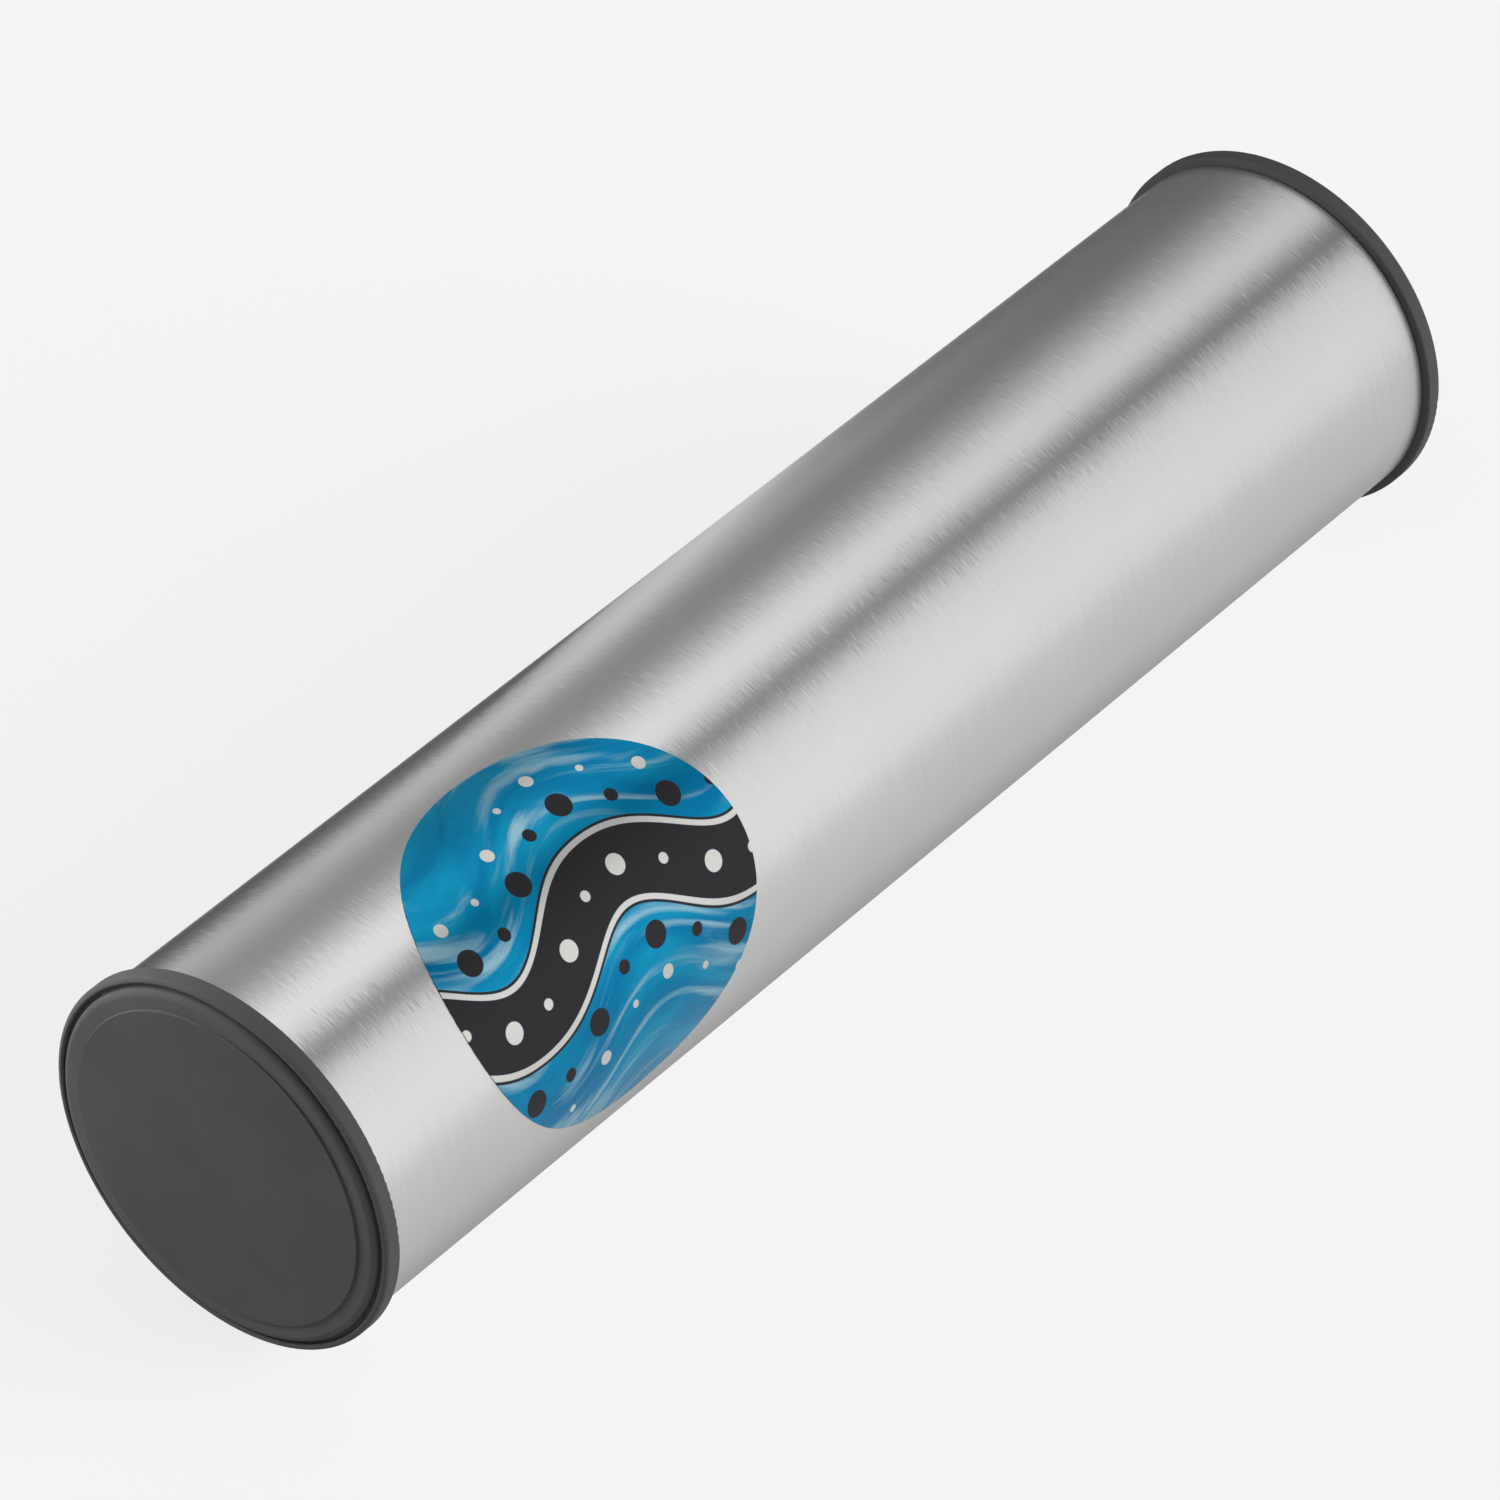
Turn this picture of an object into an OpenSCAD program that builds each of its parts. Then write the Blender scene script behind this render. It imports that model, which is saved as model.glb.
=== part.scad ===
// Tube shaker: a steel tube closed by two rubber end caps, with loose steel shot inside.
// It lies on its side, with the tube's axis along X and the rims of both caps on z = 0.
// The end with the label is at -X, and the label faces -Y and up.

/* [Tube] */
// Outside diameter of the tube
tube_d = 48; // [40:0.5:60]
// Thickness of the tube's wall
tube_wall = 0.8; // [0.6:0.1:2]
// Length of the tube, all of which shows between the two flanges
tube_len = 203; // [170:1:300]
// Bevel that takes the edge off the ends of the tube, inside and outside
tube_bevel = 0.2; // [0.05:0.05:0.25]

/* [Cap flange] */
// How far the flange stands proud of the tube's side
flange_lip = 1.1; // [0.5:0.1:4]
// Thickness of the flange at its rim
flange_t = 2.4; // [1.8:0.1:4]
// Rounding of the rim's outer edge
rim_round = 0.55; // [0.1:0.05:0.55]
// Rounding of the rim's edge next to the groove
crest_round = 0.3; // [0.05:0.05:0.3]
// Rounding of the rim's edge next to the tube
seat_round = 0.3; // [0.1:0.05:0.5]
// Width of the rim, from its outer side to the groove
rim_w = 0.9; // [0.9:0.1:3]
// Width of the round-bottomed groove between the rim and the raised ring
groove_w = 0.5; // [0.3:0.05:0.5]
// Depth of the groove under the rim's face
groove_depth = 0.6; // [0.55:0.05:1]
// Height of the raised ring over the rim's face
ring_h = 0.5; // [0.5:0.1:3]
// Width of the raised ring, from the groove to the disc inside it
ring_w = 2.5; // [1.6:0.1:5]
// Rounding of the ring's broad outer shoulder
ring_round = 0.8; // [0.1:0.1:0.8]
// Height of the disc over the ring
disc_h = 0.3; // [0.25:0.05:1.2]
// Rounding of the disc's edge
disc_round = 0.1; // [0.05:0.01:0.12]
// Fillet at the foot of the disc's edge
disc_foot = 0.1; // [0.05:0.01:0.12]

/* [Cap plug] */
// How far the hollow plug reaches into the tube
plug_depth = 12; // [8:0.5:20]
// Thickness of the plug's wall
plug_wall = 2.4; // [1.5:0.1:4]
// Gap between the plug's wall and the tube's bore
plug_gap = 0.6; // [0.3:0.1:1.2]
// Bevel that leads the plug into the tube
plug_bevel = 1; // [0.3:0.1:1.2]
// Number of sealing ribs round the plug
rib_count = 3; // [1:1:3]
// Width of each rib at its root
rib_w = 1.6; // [1:0.1:2]
// Width of each rib's squeezed crest
rib_crest = 0.6; // [0.3:0.1:0.8]
// Clearance of the squeezed ribs in the bore
rib_clearance = 0.05; // [0.01:0.01:0.1]

/* [Label] */
// Diameter of the round label before it is bent round the tube
label_d = 50; // [30:1:60]
// Thickness of the label
label_t = 0.12; // [0.05:0.01:0.3]
// Thickness of the glue under the label
glue_t = 0.02; // [0.01:0.01:0.05]
// Distance of the label's centre from the tube's near end
label_from_end = 44.3; // [32:0.1:80]
// Angle of the label's centre above the horizontal, on the -Y side
label_angle = 40; // [0:1:90]

/* [Shot] */
// Diameter of one ball of shot
shot_d = 4.5; // [3:0.1:5]
// Gap between balls, and between the balls and the bore
shot_gap = 0.2; // [0.1:0.05:0.4]
// Gap between two groups of shot that move apart from each other
group_gap = 0.3; // [0.2:0.05:1]
// Gap that the end groups can close up when the shot runs together
spread_gap = 6; // [1:0.5:10]
// Balls in a row of the group that stays low
low_count = 3; // [2:1:4]
// Balls in a row of the group in the middle
middle_count = 4; // [2:1:5]
// Balls in a row of each end group
end_count = 4; // [2:1:5]

/* [Hidden] */
$fn = 96;

tube_r = tube_d / 2;
bore_r = tube_r - tube_wall;
flange_r = tube_r + flange_lip;
// The rims of the flanges stand on z = 0
axis_z = flange_r;

// Cap profile: radii from the axis, and heights over the end of the tube
groove_r = flange_r - rim_w;
groove_z = flange_t - groove_depth;
ring_r = groove_r - groove_w;
ring_top = flange_t + ring_h;
disc_r = ring_r - ring_w;
disc_top = ring_top + disc_h;
plug_r = bore_r - plug_gap;
plug_bore_r = plug_r - plug_wall;
rib_r = bore_r - rib_clearance;
// The ribs share the plug's length evenly, clear of its bevel
rib_pitch = (plug_depth - plug_bevel) / (rib_count + 0.5);

// The label reaches this far over the tube's surface, measured flat
label_r = label_d / 2;
label_points = 120;

// Balls in one row lie a pitch apart, and neighbouring rows are shifted by half of it
shot_r = shot_d / 2;
shot_pitch = shot_d + shot_gap;
// Rows in the lower layer, across the bottom of the bore
low_rows = 7;
// Rows in the upper layer, each in the hollow between two lower rows
high_rows = 4;
// The end groups are a single layer
end_rows = 5;
// Distance between two lower rows, as a share of the pitch
row_share = 1.06;
low_layer_r = bore_r - shot_gap - shot_r;
row_angle = 2 * asin(row_share * shot_pitch / 2 / low_layer_r);
// An upper ball touches a lower one on each side, a quarter of the pitch along from each
high_layer_r = low_layer_r * cos(row_angle / 2)
    - sqrt(pow(shot_pitch, 2) - pow(shot_pitch / 4, 2) - pow(row_share * shot_pitch / 2, 2));

// Lengths of the groups, and their places along the tube
low_len = group_len(low_count);
middle_len = group_len(middle_count);
end_len = group_len(end_count);
heap_len = low_len + group_gap + middle_len;
low_x = -(heap_len - low_len) / 2;
middle_x = (heap_len - middle_len) / 2;
end_x = heap_len / 2 + spread_gap + end_len / 2;

// Length of a group whose rows hold count balls, staggered by half a pitch
function group_len(count) = (count - 0.5) * shot_pitch + shot_d;

// The corner between a square and the circle that rounds it, with its point at the origin
module spandrel(r) {
    difference() {
        square(r);
        translate([r, r])
            circle(r);
    }
}

// Puts a shape drawn along Z onto the tube's axis, at one end of the tube and pointing out of it
module at_end(side) {
    translate([side * tube_len / 2, 0, axis_z])
        rotate([0, side * 90, 0])
            children();
}

// The tube is one plain barrel, open at both ends
module tube() {
    color("silver")
        translate([0, 0, axis_z])
            rotate([0, 90, 0])
                rotate_extrude()
                    polygon([
                        [bore_r, -tube_len / 2 + tube_bevel],
                        [bore_r + tube_bevel, -tube_len / 2],
                        [tube_r - tube_bevel, -tube_len / 2],
                        [tube_r, -tube_len / 2 + tube_bevel],
                        [tube_r, tube_len / 2 - tube_bevel],
                        [tube_r - tube_bevel, tube_len / 2],
                        [bore_r + tube_bevel, tube_len / 2],
                        [bore_r, tube_len / 2 - tube_bevel],
                    ]);
}

// Half section of the groove, open at the rim's face
module groove_profile() {
    translate([ring_r + groove_w / 2, groove_z + groove_w / 2]) {
        circle(groove_w / 2);
        translate([-groove_w / 2, 0])
            square([groove_w, groove_depth]);
    }
}

// Half section of the flange: rim, groove, raised ring and the disc that stands on it
module flange_profile() {
    difference() {
        union() {
            square([flange_r, flange_t]);
            square([ring_r, ring_top]);
            square([disc_r, disc_top]);
        }
        groove_profile();
        translate([disc_r, disc_top])
            rotate(180)
                spandrel(disc_round);
        translate([ring_r, ring_top])
            rotate(180)
                spandrel(ring_round);
        translate([groove_r, flange_t])
            rotate(-90)
                spandrel(crest_round);
        translate([flange_r, flange_t])
            rotate(180)
                spandrel(rim_round);
        translate([flange_r, 0])
            rotate(90)
                spandrel(seat_round);
    }
    translate([disc_r, ring_top])
        spandrel(disc_foot);
}

// Half section of one rib, with its root inside the plug's wall
module rib_profile(z) {
    polygon([
        [plug_r - plug_gap, z - rib_w / 2],
        [plug_r, z - rib_w / 2],
        [rib_r, z - rib_crest / 2],
        [rib_r, z + rib_crest / 2],
        [plug_r, z + rib_w / 2],
        [plug_r - plug_gap, z + rib_w / 2],
    ]);
}

// Half section of the hollow plug, which points down from the flange into the tube
module plug_profile() {
    polygon([
        [plug_bore_r, 0],
        [plug_bore_r, -plug_depth],
        [plug_r - plug_bevel, -plug_depth],
        [plug_r, -plug_depth + plug_bevel],
        [plug_r, 0],
    ]);
    for (i = [0 : rib_count - 1])
        rib_profile(-(i + 0.75) * rib_pitch);
}

// One end cap, moulded in rubber in one piece
module cap() {
    color("dimgray")
        rotate_extrude() {
            flange_profile();
            plug_profile();
        }
}

module near_cap() {
    at_end(-1)
        cap();
}

module far_cap() {
    at_end(1)
        cap();
}

// Outline of the label, seen square on: a circle drawn flat and bent round the tube
function label_outline() = [
    for (i = [0 : label_points - 1])
        let (t = 360 * i / label_points)
        [label_r * cos(t), tube_r * sin(label_r * sin(t) / tube_r * 180 / PI)]
];

// The label is a thin skin on the tube, cut to its outline
module label() {
    color("deepskyblue")
        translate([label_from_end - tube_len / 2, 0, axis_z])
            rotate([90 - label_angle, 0, 0])
                intersection() {
                    rotate([0, 90, 0])
                        difference() {
                            cylinder(h = label_d * 2, r = tube_r + glue_t + label_t, center = true);
                            cylinder(h = label_d * 3, r = tube_r + glue_t, center = true);
                        }
                    linear_extrude(tube_d)
                        polygon(label_outline());
                }
}

// One row of balls along the tube, an angle away from the bottom of the bore
module shot_row(count, angle, layer_r, shift) {
    rotate([angle, 0, 0])
        for (j = [0 : count - 1])
            translate([(j - (count - 1) / 2) * shot_pitch + shift, 0, -layer_r])
                sphere(shot_r);
}

// Lower rows side by side, every other one shifted half a pitch
module low_layer(count, rows) {
    for (i = [0 : rows - 1])
        shot_row(count, (i - (rows - 1) / 2) * row_angle, low_layer_r,
            (i % 2 == 0 ? -1 : 1) * shot_pitch / 4);
}

// Upper rows in the hollows of the lower ones, every other one a ball shorter
module high_layer(count, rows) {
    for (i = [0 : rows - 1])
        shot_row(count - i % 2, (i - (rows - 1) / 2) * row_angle, high_layer_r, 0);
}

// Puts a group of shot at its place along the tube
module shot_at(x) {
    color("gainsboro")
        translate([x, 0, axis_z])
            children();
}

module shot_low() {
    shot_at(low_x) {
        low_layer(low_count, low_rows);
        high_layer(low_count, high_rows);
    }
}

module shot_middle() {
    shot_at(middle_x) {
        low_layer(middle_count, low_rows);
        high_layer(middle_count, high_rows);
    }
}

module shot_near() {
    shot_at(-end_x)
        low_layer(end_count, end_rows);
}

module shot_far() {
    shot_at(end_x)
        low_layer(end_count, end_rows);
}

tube();
near_cap();
far_cap();
label();
shot_low();
shot_middle();
shot_near();
shot_far();
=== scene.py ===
"""Looks of the tube shaker: a brushed steel tube, moulded rubber caps, a printed label and steel shot."""
import math

import bpy
from mathutils import Matrix, Vector


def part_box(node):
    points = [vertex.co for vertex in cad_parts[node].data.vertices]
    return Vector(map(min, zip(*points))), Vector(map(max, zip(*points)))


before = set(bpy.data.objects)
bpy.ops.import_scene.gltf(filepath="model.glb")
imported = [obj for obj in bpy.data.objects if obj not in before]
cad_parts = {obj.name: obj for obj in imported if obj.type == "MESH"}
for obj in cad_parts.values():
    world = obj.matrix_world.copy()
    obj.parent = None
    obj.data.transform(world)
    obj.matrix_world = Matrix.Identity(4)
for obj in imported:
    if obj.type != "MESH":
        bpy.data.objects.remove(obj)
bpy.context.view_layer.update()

MM = 0.001
bpy.context.scene.view_settings.view_transform = "Standard"

# The tube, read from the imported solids
TUBE_LOW, TUBE_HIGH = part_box("tube")
TUBE_R = (TUBE_HIGH.z - TUBE_LOW.z) / 2
AXIS_Z = (TUBE_HIGH.z + TUBE_LOW.z) / 2

# Camera, fitted to the photograph's outlines. Its place is given in tube radii from the tube's centre.
EYE_RADII = (-26.2578, -20.6592, 27.0735)
CAMERA_RIGHT = (0.62223, -0.78283, 0.0)
CAMERA_UP = (0.49509, 0.39352, 0.77461)
CAMERA_BACK = (-0.60639, -0.48199, 0.63244)
LENS_MM = 203.11
SENSOR_MM = 36.0

# Studio: an even pale surround and two soft lights, low on the left and the right of the camera's view
WORLD_STRENGTH = 0.4
# A soft box close to the labelled end: its place, its power in watts and its side
LEFT_BOX = ((-0.165, 0.165, 0.105), 0.8, 0.12)
# A broad light from the right: the side it shines from, its strength and its spread in degrees
RIGHT_LIGHT = ((0.45, -0.86, 0.24), 3.3, 50)
FLOOR_HALF = 4.0
FLOOR_LEVEL = 0.9
# How pale the floor looks, and the space beyond it
BACKDROP_LEVEL = 0.99
HORIZON_LEVEL = 0.91
# How much of the object's shadow the pale background hides
SHADOW_LIFT = 0.8

# What the metal mirrors: a round surround of soft boxes, cards and gaps, with the tube on its axis, and
# below the tube a floor with painted shadow.
# Each stop is an angle in degrees round the tube's axis, from -Y over the top, and a brightness.
# Along the tube, the near stops give way to the far ones between the two places in TENT_FADE.
TENT_R = 0.2
TENT_ENDS = (-0.9, 1.2)
TENT_SIDES = 96
TENT_START = -120
TENT_FADE = (0.08, 0.23)
# Painted shadow: the stops below the tube's sides are the mirrored floor, darkened towards the tube, most at
# -97 and from 182 to 210.
TENT_NEAR = ((-97, 0.43), (-60, 0.71), (-24, 0.82), (-12, 0.9), (-2, 1.1), (18, 1.15), (42, 1.06),
             (52, 0.92), (63, 0.46), (69, 0.34), (76, 0.76), (87, 1.18), (99, 1.16), (110, 0.8),
             (124, 0.42), (138, 0.38), (150, 0.5), (164, 0.72), (173, 0.5), (182, 0.16), (210, 0.1),
             (218, 1.1))
TENT_FAR = ((-97, 0.43), (-60, 0.71), (-24, 0.79), (-12, 0.84), (-2, 0.98), (18, 1.0), (42, 0.93),
            (52, 0.87), (63, 0.57), (71, 0.2), (79, 0.34), (89, 0.74), (99, 0.82), (110, 0.68),
            (124, 0.47), (138, 0.27), (150, 0.2), (164, 0.17), (180, 0.14), (204, 0.11), (211, 0.16),
            (218, 1.1))
# A softer light low behind the tube: its place along the tube and round it, its half sizes, how far it
# leans along the tube for each degree round it, its brightness and how soft its edge is
WINDOW_AT = (0.137, 188)
WINDOW_HALF = (0.028, 32)
WINDOW_LEAN = 0.0007
WINDOW_LEVEL = 0.85
WINDOW_SOFT = 0.5

# The brush's marks on the tube: how many to a metre along it and round it
HAIRS = (5200.0, 70.0)
STREAKS = (6200.0, 420.0)
PATCHES = (90.0, 140.0)
CLOUDS = (60.0, 60.0)
# How far the streaks tip the tube's surface, as a share of its normal, and how that varies by patches
SCRATCH_TILT = 1.3
PATCH_DEPTH = (0.3, 1.7)
STEEL_TINT = (1.0, 0.996, 0.988, 1)
STEEL_TONE = (0.56, 0.74)
STEEL_ROUGH = (0.22, 0.29)

# The disc on each cap, which is a little darker than the rubber round it, and how soft the change is
DISC_R = 21.2 * MM
DISC_SOFT = 0.2 * MM
DISC_TONE = (0.039, 0.055)
RING_TONE = (0.049, 0.065)
RUBBER_ROUGH = (0.6, 0.75)
# What the noise's 0 and 1 are carried to, so that its middle tones fill the whole range
RUBBER_CONTRAST = (-0.5, 1.5)
# The rubber's moulded speckle and its cloudy bloom: how many to a metre
SPECKLE = 5200.0
BLOOM = 110.0

# The shot's smears and dents: how many to a metre. A step is where in a noise a tone begins, and how softly.
SMEARS = 420.0
DENTS = 1900.0
SMEAR_STEP = (0.5, 0.4)
SMEAR_TONE = 0.5
SHOT_TINT = (0.66, 0.655, 0.645, 1)
SHOT_ROUGH = (0.1, 0.32)

# Middle of the label: degrees round the tube from -Y, by way of the top, and distance from the tube's end
LABEL_ANGLE = 40.0
LABEL_FROM_END = 44.3 * MM

# The label's print, in millimetres: a black wave with silver edges, and rows of dots that follow it
WAVE_LENGTH = 40.0
WAVE_TURN = 2 * math.pi / WAVE_LENGTH
WAVE_HEIGHT = 4.4
WAVE_SHIFT = 0.9
BAND_HALF = 4.3
SILVER_EDGE = 0.75
BLACK_EDGE = 0.35
PRINT_SOFT = 0.1
DOT_SOFT = 0.12
DOT_PITCH = 6.2
# Each row's distance from the wave, and the radii of its small and its large dots
BLACK_DOTS = ((9.6, 0.9, 1.7), (-9.6, 0.9, 1.7))
PALE_DOTS = ((14.6, 0.5, 0.9), (-14.6, 0.5, 0.9), (0.0, 0.7, 1.35))
# The ground's drifts of blue and its pale sweeps: how many to a millimetre along the wave and away from it
DRIFTS = (0.05, 0.16)
SWEEPS = (0.045, 0.3)
SWEEP_SEED = 7.0
DRIFT_STEP = (0.5, 0.35)
SWEEP_STEP = (0.6, 0.2)
SWEEP_STRENGTH = 0.85
DEEP_BLUE = (0.0, 0.16, 0.34, 1)
CLEAR_BLUE = (0.004, 0.27, 0.46, 1)
PALE_BLUE = (0.30, 0.50, 0.58, 1)
SILVER = (0.56, 0.56, 0.54, 1)
INK = (0.012, 0.012, 0.014, 1)
# The film is metallic where no ink covers it. Each pair is for bare film and for ink.
FILM_METAL = (0.78, 0.0)
FILM_ROUGH = (0.27, 0.36)
# The film's fine texture: how much of it to a metre, and how much it changes the roughness
FILM_GRAIN = 2500.0
FILM_GRAIN_ROUGH = 0.06


class Shader:
    """A material's or world's node tree, with short ways to add and join its nodes."""

    def __init__(self, owner):
        owner.use_nodes = True
        self.tree = owner.node_tree
        self.tree.nodes.clear()

    def node(self, kind, inputs=None, **settings):
        made = self.tree.nodes.new(kind)
        for name, value in settings.items():
            setattr(made, name, value)
        for name, value in (inputs or {}).items():
            self.set(made.inputs[name], value)
        return made

    def set(self, socket, value):
        if isinstance(value, bpy.types.NodeSocket):
            self.tree.links.new(value, socket)
        else:
            socket.default_value = value

    def math(self, operation, *values):
        made = self.node("ShaderNodeMath", operation=operation)
        for socket, value in zip(made.inputs, values):
            self.set(socket, value)
        return made.outputs[0]

    def vector_math(self, operation, *values):
        made = self.node("ShaderNodeVectorMath", operation=operation)
        for socket, value in zip(made.inputs, values):
            self.set(socket, value)
        return made.outputs[0]

    def scaled(self, vector, factor):
        made = self.node("ShaderNodeVectorMath", {"Scale": factor}, operation="SCALE")
        self.set(made.inputs[0], vector)
        return made.outputs[0]

    def length(self, first, second):
        """Length of a line that goes this far one way and that far at right angles to it."""
        squares = [self.math("MULTIPLY", side, side) for side in (first, second)]
        return self.math("SQRT", self.math("ADD", *squares))

    def noise(self, vector, scale=1.0, detail=2.0, distortion=0.0):
        inputs = {"Vector": vector, "Scale": scale, "Detail": detail, "Distortion": distortion}
        return self.node("ShaderNodeTexNoise", inputs).outputs["Fac"]

    def marks(self, along, up, counts, seed=0.0, **settings):
        """Noise on a surface, with a count of marks for each unit along it and up it."""
        along, up = [self.math("MULTIPLY", way, count) for way, count in zip((along, up), counts)]
        spot = self.node("ShaderNodeCombineXYZ", {"X": along, "Y": up, "Z": seed}).outputs[0]
        return self.noise(spot, **settings)

    def ramp(self, fac, stops):
        """Straight lines from one (place, value) stop to the next, level beyond the first and the last."""
        made = self.node("ShaderNodeValToRGB", {"Fac": fac})
        made.color_ramp.interpolation = "LINEAR"
        points = made.color_ramp.elements
        while len(points) < len(stops):
            points.new(0.5)
        for point, (place, value) in zip(points, stops):
            point.position = place
            point.color = (value, value, value, 1)
        return made.outputs["Color"]

    def step(self, value, edge, soft):
        """0 below the edge and 1 above it, over a width of soft."""
        inputs = {"Value": value, "From Min": edge - soft / 2, "From Max": edge + soft / 2}
        made = self.node("ShaderNodeMapRange", inputs, interpolation_type="SMOOTHSTEP")
        return made.outputs[0]

    def spread(self, value, low, high):
        """Carries 0 to 1 onto low to high."""
        inputs = {"Value": value, "To Min": low, "To Max": high}
        return self.node("ShaderNodeMapRange", inputs).outputs[0]

    def blended(self, first, second, share):
        """Adds two values, of which the second has this share."""
        rest = self.math("MULTIPLY", first, 1 - share)
        return self.math("ADD", rest, self.math("MULTIPLY", second, share))

    def mix(self, fac, first, second):
        """Blends two colours."""
        made = self.node("ShaderNodeMix", data_type="RGBA")
        self.set(made.inputs[0], fac)
        self.set(made.inputs[6], first)
        self.set(made.inputs[7], second)
        return made.outputs[2]

    def place(self):
        """The place on the object, in metres."""
        return self.node("ShaderNodeTexCoord").outputs["Object"]

    def axis_place(self):
        """Distance along the tube's axis, towards -Y from it and above it, in metres."""
        xyz = self.node("ShaderNodeSeparateXYZ", {"Vector": self.place()}).outputs
        return xyz["X"], self.math("MULTIPLY", xyz["Y"], -1.0), self.math("SUBTRACT", xyz["Z"], AXIS_Z)

    def tube_place(self):
        """Distance along the tube and distance round it from -Y, in metres."""
        x, side, height = self.axis_place()
        return x, self.math("MULTIPLY", self.math("ARCTAN2", height, side), TUBE_R)

    def seen(self):
        """1 for rays that show things straight on, in a reflection or through glass, and 0 for others."""
        ray = self.node("ShaderNodeLightPath").outputs
        mirrored = self.math("MAXIMUM", ray["Is Glossy Ray"], ray["Is Transmission Ray"])
        return self.math("MAXIMUM", ray["Is Camera Ray"], mirrored)

    def finish(self, shader, kind="ShaderNodeOutputMaterial"):
        output = self.node(kind)
        self.tree.links.new(shader, output.inputs["Surface"])


def grey(level):
    return (level, level, level, 1)


def link(name, data):
    """Adds an object with this data to the scene."""
    made = bpy.data.objects.new(name, data)
    bpy.context.scene.collection.objects.link(made)
    return made


def dress(node, material):
    """Gives a CAD node one material all over."""
    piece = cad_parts[node]
    if not piece.material_slots:
        piece.data.materials.append(material)
    for slot in piece.material_slots:
        slot.material = material


def brushed_steel():
    """Stainless tube, brushed round its circumference, so that light smears along its length.

    The brush also leaves short scratches that tip the surface a little round the tube,
    which breaks up the edges of the soft reflections."""
    material = bpy.data.materials.new("brushed_tube")
    s = Shader(material)
    x, arc = s.tube_place()
    hair = s.marks(x, arc, HAIRS, detail=3.0)
    streak, patch, cloud = [s.marks(x, arc, counts) for counts in (STREAKS, PATCHES, CLOUDS)]
    grain = s.blended(hair, streak, share=0.3)
    tone = s.spread(s.blended(grain, cloud, share=0.3), *STEEL_TONE)
    colour = s.mix(tone, grey(0.0), STEEL_TINT)
    axis = s.node("ShaderNodeVectorTransform", {"Vector": (1.0, 0.0, 0.0)}, vector_type="VECTOR",
                  convert_from="OBJECT", convert_to="WORLD").outputs[0]
    normal = s.node("ShaderNodeNewGeometry").outputs["Normal"]
    round_way = s.vector_math("CROSS_PRODUCT", axis, normal)
    depth = s.math("MULTIPLY", s.spread(patch, *PATCH_DEPTH), SCRATCH_TILT)
    swing = s.math("SUBTRACT", streak, 0.5)
    tilt = s.math("MULTIPLY", s.math("MULTIPLY", swing, s.math("ABSOLUTE", swing)), depth)
    tilted = s.vector_math("NORMALIZE", s.vector_math("ADD", normal, s.scaled(round_way, tilt)))
    bump = s.node("ShaderNodeBump", {"Strength": 0.12, "Distance": 0.02 * MM, "Height": grain,
                                     "Normal": tilted})
    tangent = s.node("ShaderNodeTangent", direction_type="RADIAL", axis="X").outputs[0]
    inputs = {"Base Color": colour, "Metallic": 1.0, "Roughness": s.spread(grain, *STEEL_ROUGH),
              "Anisotropic": 0.9, "Anisotropic Rotation": 0.25, "Normal": bump.outputs[0],
              "Tangent": tangent}
    s.finish(s.node("ShaderNodeBsdfPrincipled", inputs).outputs[0])
    return material


def cap_rubber():
    """Matt moulded rubber with a fine speckle, a little darker on the disc than round it."""
    material = bpy.data.materials.new("cap_rubber")
    s = Shader(material)
    side, height = s.axis_place()[1:]
    fine = s.noise(s.place(), scale=SPECKLE, detail=3.0)
    bloom = s.noise(s.place(), scale=BLOOM, detail=3.0)
    tone = s.spread(s.blended(bloom, fine, share=0.4), *RUBBER_CONTRAST)
    disc, ring = [s.mix(tone, grey(low), grey(high)) for low, high in (DISC_TONE, RING_TONE)]
    colour = s.mix(s.step(s.length(side, height), DISC_R, DISC_SOFT), disc, ring)
    bump = s.node("ShaderNodeBump", {"Strength": 0.3, "Distance": 0.03 * MM, "Height": fine})
    inputs = {"Base Color": colour, "Roughness": s.spread(fine, *RUBBER_ROUGH), "Specular IOR Level": 0.25,
              "Normal": bump.outputs[0]}
    s.finish(s.node("ShaderNodeBsdfPrincipled", inputs).outputs[0])
    return material


def wave(s, along):
    """Height of the label's wave at a place along it."""
    turn = s.math("MULTIPLY_ADD", along, WAVE_TURN, WAVE_SHIFT)
    return s.math("MULTIPLY", s.math("SINE", turn), WAVE_HEIGHT)


def widening(s, along):
    """How much wider the wave's slope makes what is measured upright."""
    turn = s.math("MULTIPLY_ADD", along, WAVE_TURN, WAVE_SHIFT)
    slope = s.math("MULTIPLY", s.math("COSINE", turn), WAVE_HEIGHT * WAVE_TURN)
    return s.math("SQRT", s.math("MULTIPLY_ADD", slope, slope, 1.0))


def dot_row(s, along, up, offset, small, large):
    """A mask of round dots, small and large in turn, that follow the wave at a distance."""
    cell = s.math("ROUND", s.math("DIVIDE", along, DOT_PITCH))
    centre = s.math("MULTIPLY", cell, DOT_PITCH)
    sideways = s.math("SUBTRACT", along, centre)
    upright = s.math("SUBTRACT", s.math("SUBTRACT", up, wave(s, centre)), offset)
    odd = s.math("FLOORED_MODULO", cell, 2.0)
    beyond = s.math("SUBTRACT", s.length(sideways, upright), s.spread(odd, small, large))
    return s.math("SUBTRACT", 1.0, s.step(beyond, 0.0, DOT_SOFT))


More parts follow.
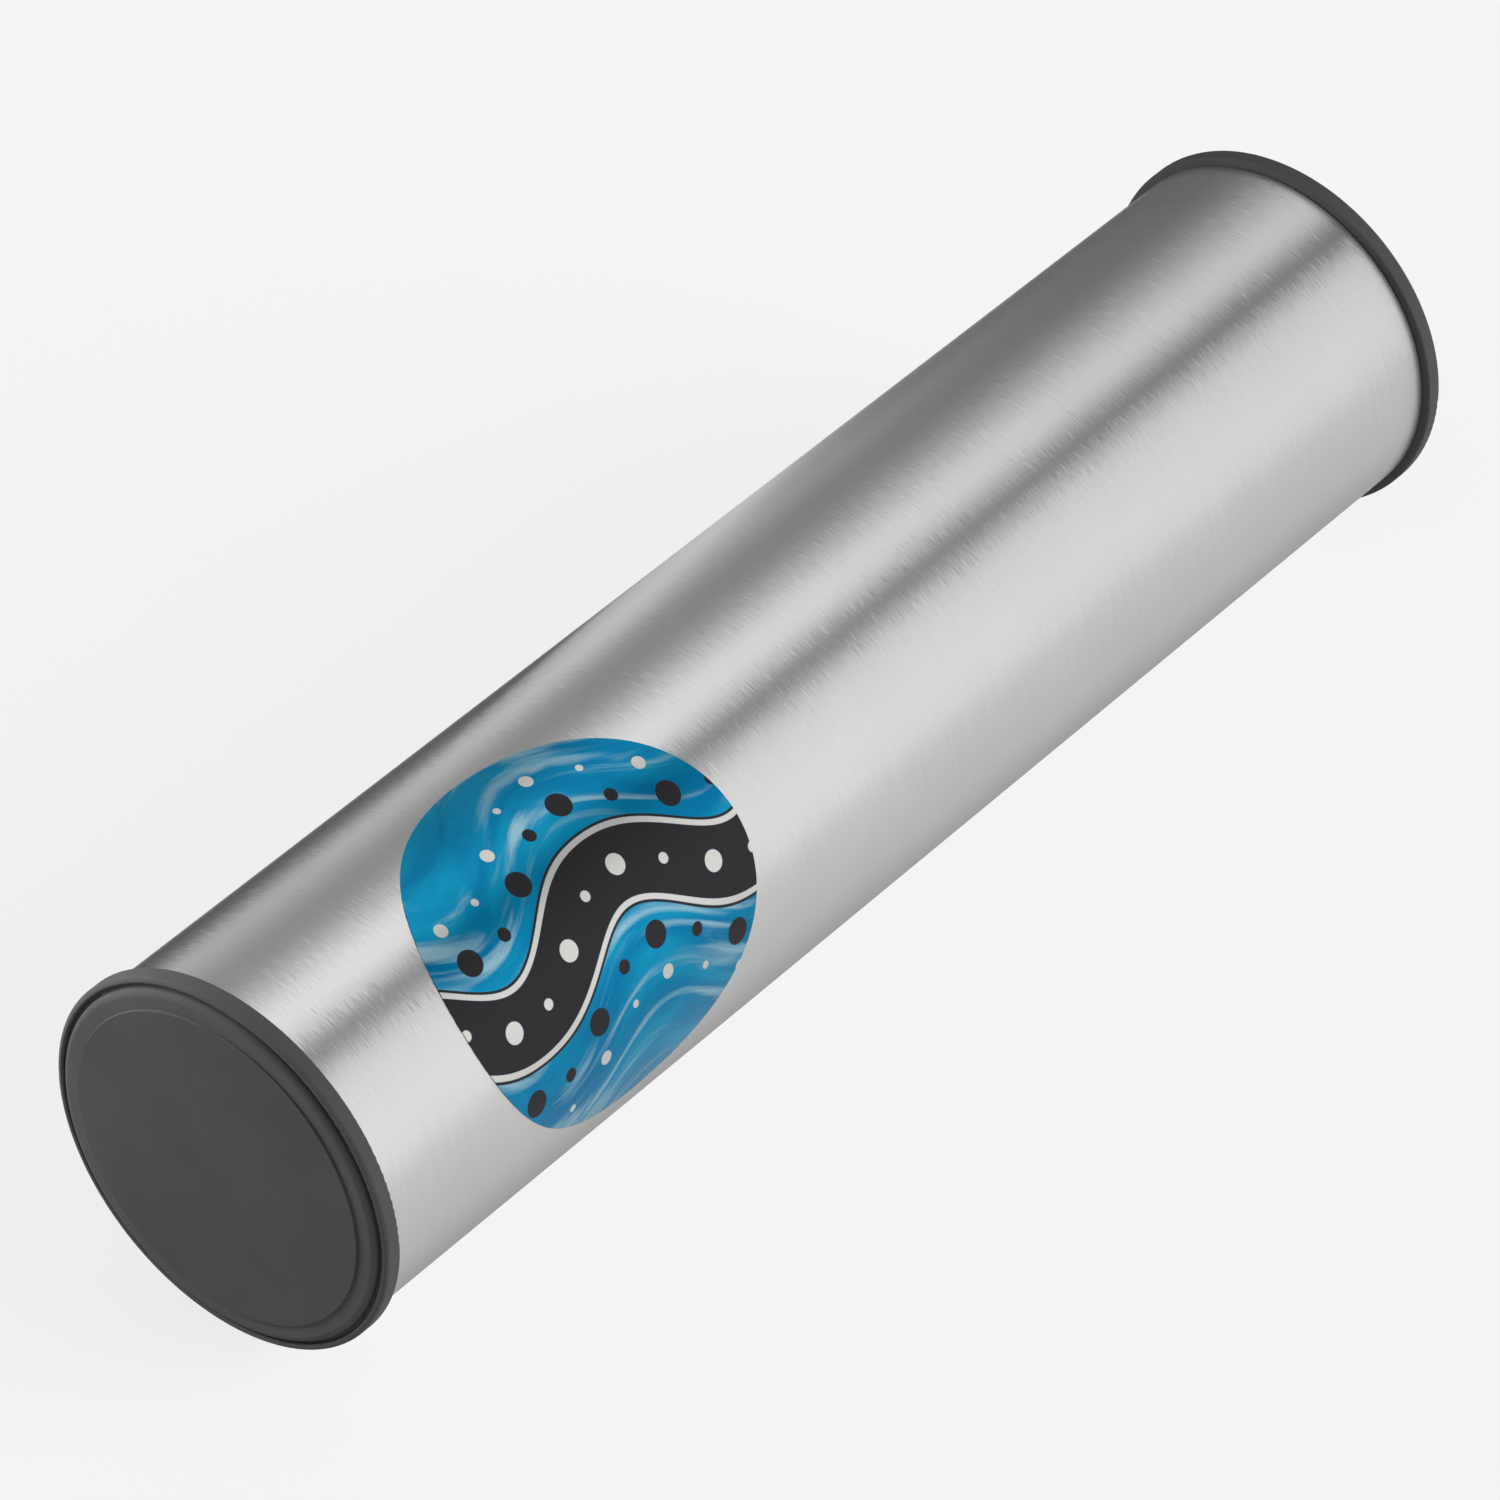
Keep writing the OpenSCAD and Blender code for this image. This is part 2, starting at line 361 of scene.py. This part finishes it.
def printed_label():
    """Metallic film with a blue ground, a black wave with silver edges, and rows of dots."""
    material = bpy.data.materials.new("label_vinyl")
    s = Shader(material)
    x, arc = s.tube_place()
    along = s.math("DIVIDE", s.math("SUBTRACT", x, TUBE_LOW.x + LABEL_FROM_END), MM)
    up = s.math("DIVIDE", s.math("SUBTRACT", arc, math.radians(LABEL_ANGLE) * TUBE_R), MM)
    off = s.math("SUBTRACT", up, wave(s, along))
    aside = s.math("DIVIDE", s.math("ABSOLUTE", off), widening(s, along))

    drift = s.marks(along, off, DRIFTS, detail=3.0, distortion=0.4)
    sweep = s.marks(along, off, SWEEPS, seed=SWEEP_SEED, detail=4.0, distortion=0.6)
    ground = s.mix(s.step(drift, *DRIFT_STEP), DEEP_BLUE, CLEAR_BLUE)
    ground = s.mix(s.math("MULTIPLY", s.step(sweep, *SWEEP_STEP), SWEEP_STRENGTH), ground, PALE_BLUE)

    silver_half = BAND_HALF + SILVER_EDGE
    black_half = silver_half + BLACK_EDGE
    band, silver_edge, black_edge = [s.step(aside, half, PRINT_SOFT)
                                     for half in (BAND_HALF, silver_half, black_half)]
    ink = s.math("MAXIMUM", s.math("SUBTRACT", silver_edge, black_edge), s.math("SUBTRACT", 1.0, band))
    silver = s.math("SUBTRACT", band, silver_edge)
    for row in BLACK_DOTS:
        ink = s.math("MAXIMUM", ink, dot_row(s, along, up, *row))
    for row in PALE_DOTS:
        dots = dot_row(s, along, up, *row)
        silver = s.math("MAXIMUM", silver, dots)
        ink = s.math("MULTIPLY", ink, s.math("SUBTRACT", 1.0, dots))
    colour = s.mix(ink, s.mix(silver, ground, SILVER), INK)

    fine = s.noise(s.place(), scale=FILM_GRAIN)
    unevenness = s.math("MULTIPLY", s.math("SUBTRACT", fine, 0.5), FILM_GRAIN_ROUGH)
    rough = s.math("ADD", s.spread(ink, *FILM_ROUGH), unevenness)
    bump = s.node("ShaderNodeBump", {"Strength": 0.1, "Distance": 0.01 * MM, "Height": fine})
    inputs = {"Base Color": colour, "Metallic": s.spread(ink, *FILM_METAL), "Roughness": rough,
              "Normal": bump.outputs[0], "Specular IOR Level": 0.15}
    s.finish(s.node("ShaderNodeBsdfPrincipled", inputs).outputs[0])
    return material


def polished_shot():
    """Polished steel balls, dulled and dented a little by knocking together."""
    material = bpy.data.materials.new("steel_shot")
    s = Shader(material)
    smear = s.noise(s.place(), scale=SMEARS, detail=3.0)
    dents = s.noise(s.place(), scale=DENTS)
    colour = s.mix(s.step(smear, *SMEAR_STEP), grey(SMEAR_TONE), SHOT_TINT)
    bump = s.node("ShaderNodeBump", {"Strength": 0.12, "Distance": 0.03 * MM, "Height": dents})
    inputs = {"Base Color": colour, "Metallic": 1.0, "Roughness": s.spread(smear, *SHOT_ROUGH),
              "Normal": bump.outputs[0]}
    s.finish(s.node("ShaderNodeBsdfPrincipled", inputs).outputs[0])
    return material


def make_camera():
    data = bpy.data.cameras.new("camera")
    data.lens = LENS_MM
    data.sensor_width = SENSOR_MM
    data.clip_start = 0.01
    data.clip_end = 100
    camera = link("camera", data)
    axes = Matrix((CAMERA_RIGHT, CAMERA_UP, CAMERA_BACK)).transposed()
    eye = Vector((0, 0, AXIS_Z)) + TUBE_R * Vector(EYE_RADII)
    camera.matrix_world = Matrix.Translation(eye) @ axes.to_4x4()
    bpy.context.scene.camera = camera


def pale_floor():
    """The floor's material. Most of what is seen of it is plain, so that the object's shadow is faint."""
    material = bpy.data.materials.new("floor")
    s = Shader(material)
    lit = s.node("ShaderNodeBsdfDiffuse", {"Color": grey(FLOOR_LEVEL)}).outputs[0]
    plain = s.node("ShaderNodeEmission", {"Color": grey(BACKDROP_LEVEL)}).outputs[0]
    blend = s.node("ShaderNodeMixShader", {"Fac": s.math("MULTIPLY", s.seen(), SHADOW_LIFT)})
    s.set(blend.inputs[1], lit)
    s.set(blend.inputs[2], plain)
    s.finish(blend.outputs[0])
    return material


def make_floor():
    mesh = bpy.data.meshes.new("floor")
    corners = [(FLOOR_HALF * x, FLOOR_HALF * y, 0) for x, y in ((-1, -1), (1, -1), (1, 1), (-1, 1))]
    mesh.from_pydata(corners, [], [(0, 1, 2, 3)])
    mesh.materials.append(pale_floor())
    floor = link("floor", mesh)
    floor.visible_glossy = False


def add_lamp(name, data, place, source):
    """Adds a lamp that shines from the side of source. The metal mirrors the surround instead of it."""
    lamp = link(name, data)
    lamp.location = place
    lamp.rotation_euler = Vector(source).to_track_quat("Z", "Y").to_euler()
    lamp.visible_glossy = False
    lamp.visible_camera = False
    return lamp


def make_right_light():
    source, strength, spread = RIGHT_LIGHT
    data = bpy.data.lights.new("right_light", "SUN")
    data.angle = math.radians(spread)
    data.energy = strength
    add_lamp("right_light", data, (0, 0, 0), source)


def make_left_box():
    """A soft box that lights only the object, so that the floor has no bright patch under it."""
    place, power, side = LEFT_BOX
    data = bpy.data.lights.new("left_box", "AREA")
    data.energy = power
    data.size = side
    near_end = Vector((TUBE_LOW.x, 0, AXIS_Z))
    lamp = add_lamp("left_box", data, place, Vector(place) - near_end)
    lit = bpy.data.collections.new("lit_by_left_box")
    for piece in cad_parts.values():
        lit.objects.link(piece)
    lamp.light_linking.receiver_collection = lit


def make_world():
    world = bpy.data.worlds.new("studio")
    bpy.context.scene.world = world
    s = Shader(world)
    light, plain = [s.node("ShaderNodeBackground", {"Color": grey(1.0), "Strength": strength}).outputs[0]
                    for strength in (WORLD_STRENGTH, HORIZON_LEVEL)]
    blend = s.node("ShaderNodeMixShader", {"Fac": s.seen()})
    s.set(blend.inputs[1], light)
    s.set(blend.inputs[2], plain)
    s.finish(blend.outputs[0], "ShaderNodeOutputWorld")


def tent_glow():
    """The surround's brightness, by its place round the tube's axis and along it."""
    material = bpy.data.materials.new("tent")
    s = Shader(material)
    x, side, height = s.axis_place()
    turn = s.math("SUBTRACT", s.math("ARCTAN2", height, side), math.radians(TENT_START))
    place = s.math("FRACT", s.math("DIVIDE", turn, 2 * math.pi))
    near, far = [s.ramp(place, [((angle - TENT_START) / 360, level) for angle, level in stops])
                 for stops in (TENT_NEAR, TENT_FAR)]
    fade = s.step(x, (TENT_FADE[0] + TENT_FADE[1]) / 2, TENT_FADE[1] - TENT_FADE[0])
    above = s.math("MULTIPLY_ADD", place, 360.0, TENT_START - WINDOW_AT[1])
    lean = s.math("MULTIPLY_ADD", above, WINDOW_LEAN, WINDOW_AT[0])
    aside = s.math("DIVIDE", s.math("SUBTRACT", x, lean), WINDOW_HALF[0])
    upright = s.math("DIVIDE", above, WINDOW_HALF[1])
    window = s.math("SUBTRACT", 1.0, s.step(s.length(aside, upright), 1.0, WINDOW_SOFT))
    level = s.mix(window, s.mix(fade, near, far), grey(WINDOW_LEVEL))
    s.finish(s.node("ShaderNodeEmission", {"Color": level}).outputs[0])
    return material


def make_tent():
    """The surround that the metal mirrors. Only reflections see it, so it lights nothing else."""
    corners = []
    for i in range(TENT_SIDES):
        turn = 2 * math.pi * i / TENT_SIDES
        for x in TENT_ENDS:
            corners.append((x, TENT_R * math.cos(turn), AXIS_Z + TENT_R * math.sin(turn)))
    faces = []
    for i in range(0, len(corners), 2):
        faces.append([(i + step) % len(corners) for step in (0, 1, 3, 2)])
    mesh = bpy.data.meshes.new("tent")
    mesh.from_pydata(corners, [], faces)
    mesh.materials.append(tent_glow())
    tent = link("tent", mesh)
    tent.visible_camera = False
    tent.visible_diffuse = False
    tent.visible_transmission = False
    tent.visible_volume_scatter = False
    tent.visible_shadow = False


make_camera()
make_world()
make_right_light()
make_left_box()
make_floor()
make_tent()

dress("tube", brushed_steel())
rubber = cap_rubber()
dress("near_cap", rubber)
dress("far_cap", rubber)
dress("label", printed_label())
shot = polished_shot()
for name in ("shot_low", "shot_middle", "shot_near", "shot_far"):
    dress(name, shot)
